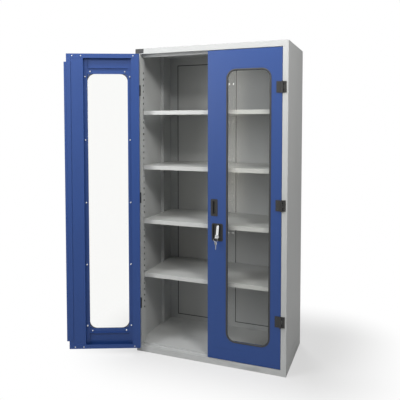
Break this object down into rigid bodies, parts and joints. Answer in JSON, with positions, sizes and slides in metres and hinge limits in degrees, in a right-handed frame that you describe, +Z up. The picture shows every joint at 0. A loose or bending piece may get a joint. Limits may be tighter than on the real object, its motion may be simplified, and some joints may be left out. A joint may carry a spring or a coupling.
{
  "type": "tool cabinet",
  "caption": "Tall sheet-steel tool cabinet with shelves on slotted posts, hinged window doors, and a keyed turn handle that drives lock rods.",
  "frame": {"origin": "centre of the cabinet's footprint, on the floor", "axes": "+Z up, doors face -Y, +X to the right seen from the front"},
  "size_m": [1.2516, 0.659, 1.8],
  "materials": {
    "carcass_grey": "satin powder coat",
    "shelf_grey": "satin powder coat",
    "door_blue": "satin powder coat",
    "hinge_black": "black satin coat",
    "black_plastic": "fine moulded grain",
    "trim_rubber": "matte rubber",
    "clear_pane": "clear polished sheet",
    "chrome": "polished chrome plate",
    "bright_zinc": "bright zinc plate",
    "nylon": "natural nylon",
    "black_plate": "bare black anodised plate"
  },
  "bodies": {
    "cabinet": {"left_side_panel": "carcass_grey", "right_side_panel": "carcass_grey", "top_panel": "carcass_grey", "header_rail": "carcass_grey", "floor_tray": "carcass_grey", "sill_rail": "carcass_grey", "back_panel_left": "carcass_grey", "back_panel_right": "carcass_grey", "back_centre_strip": "carcass_grey", "back_rivets": "bright_zinc", "front_left_post": "carcass_grey", "front_right_post": "carcass_grey", "rear_left_post": "carcass_grey", "rear_right_post": "carcass_grey", "shelf_1": "shelf_grey", "shelf_2": "shelf_grey", "shelf_3": "shelf_grey", "shelf_4": "shelf_grey", "shelf_clips": "bright_zinc", "name_plate": "black_plate", "left_hinge_frame_leaves": "hinge_black", "right_hinge_frame_leaves": "hinge_black", "left_hinge_pins": "hinge_black", "right_hinge_pins": "hinge_black"},
    "left_door": {"left_door_skin": "door_blue", "left_door_edge": "door_blue", "left_door_wide_channel": "door_blue", "left_door_narrow_channel": "door_blue", "left_window_top_retainer": "door_blue", "left_window_bottom_retainer": "door_blue", "left_window_pane": "clear_pane", "left_window_trim": "trim_rubber", "left_window_nuts": "bright_zinc", "left_door_rivets": "bright_zinc", "left_hinge_door_leaves": "hinge_black", "left_door_lip": "door_blue"},
    "right_door": {"right_door_skin": "door_blue", "right_door_edge": "door_blue", "right_door_wide_channel": "door_blue", "right_door_narrow_channel": "door_blue", "right_window_top_retainer": "door_blue", "right_window_bottom_retainer": "door_blue", "right_window_pane": "clear_pane", "right_window_trim": "trim_rubber", "right_window_nuts": "bright_zinc", "right_door_rivets": "bright_zinc", "right_hinge_door_leaves": "hinge_black", "pull_cup": "black_plastic", "lock_dish": "black_plastic", "lock_rod_guides": "nylon"},
    "turn_handle": {"turn_handle": "chrome", "lock_cam": "bright_zinc"},
    "upper_rod": {"upper_lock_rod": "bright_zinc"},
    "lower_rod": {"lower_lock_rod": "bright_zinc"},
    "key": {"key_plug": "chrome", "door_key": "bright_zinc"},
    "key_ring": {"key_ring": "bright_zinc"},
    "spare_key": {"spare_key": "bright_zinc"}
  },
  "joints": [
    {"name": "left_door_hinge", "type": "hinge", "parent": "cabinet", "child": "left_door", "pos_m": [-0.419, -0.232, 0.9], "axis": [0, 0, -1], "range_deg": [-157, 18]},
    {"name": "right_door_hinge", "type": "hinge", "parent": "cabinet", "child": "right_door", "pos_m": [0.419, -0.232, 0.9], "axis": [0, 0, 1], "range_deg": [0, 175]},
    {"name": "handle_turn", "type": "hinge", "parent": "right_door", "child": "turn_handle", "pos_m": [0.0605, -0.225, 0.7355], "axis": [0, 1, 0], "range_deg": [0, 90]},
    {"name": "upper_rod_slide", "type": "slide", "parent": "right_door", "child": "upper_rod", "axis": [0, 0, 1], "range_m": [0, 0.0151]},
    {"name": "lower_rod_slide", "type": "slide", "parent": "right_door", "child": "lower_rod", "axis": [0, 0, -1], "range_m": [0, 0.0151]},
    {"name": "key_turn", "type": "hinge", "parent": "turn_handle", "child": "key", "pos_m": [0.0605, -0.225, 0.7355], "axis": [0, 1, 0], "range_deg": [0, 90]},
    {"name": "key_ring_swing", "type": "hinge", "parent": "key", "child": "key_ring", "pos_m": [0.0605, -0.2585, 0.7326], "axis": [1, 0, 0], "range_deg": [-60, 15]},
    {"name": "spare_key_swing", "type": "hinge", "parent": "key_ring", "child": "spare_key", "pos_m": [0.0605, -0.2585, 0.7096], "axis": [1, 0, 0], "range_deg": [-45, 10]}
  ],
  "couplings": [
    {"joint": "upper_rod_slide", "follows": "handle_turn", "m_per_rad": 0.0095493},
    {"joint": "lower_rod_slide", "follows": "handle_turn", "m_per_rad": 0.0095493}
  ]
}
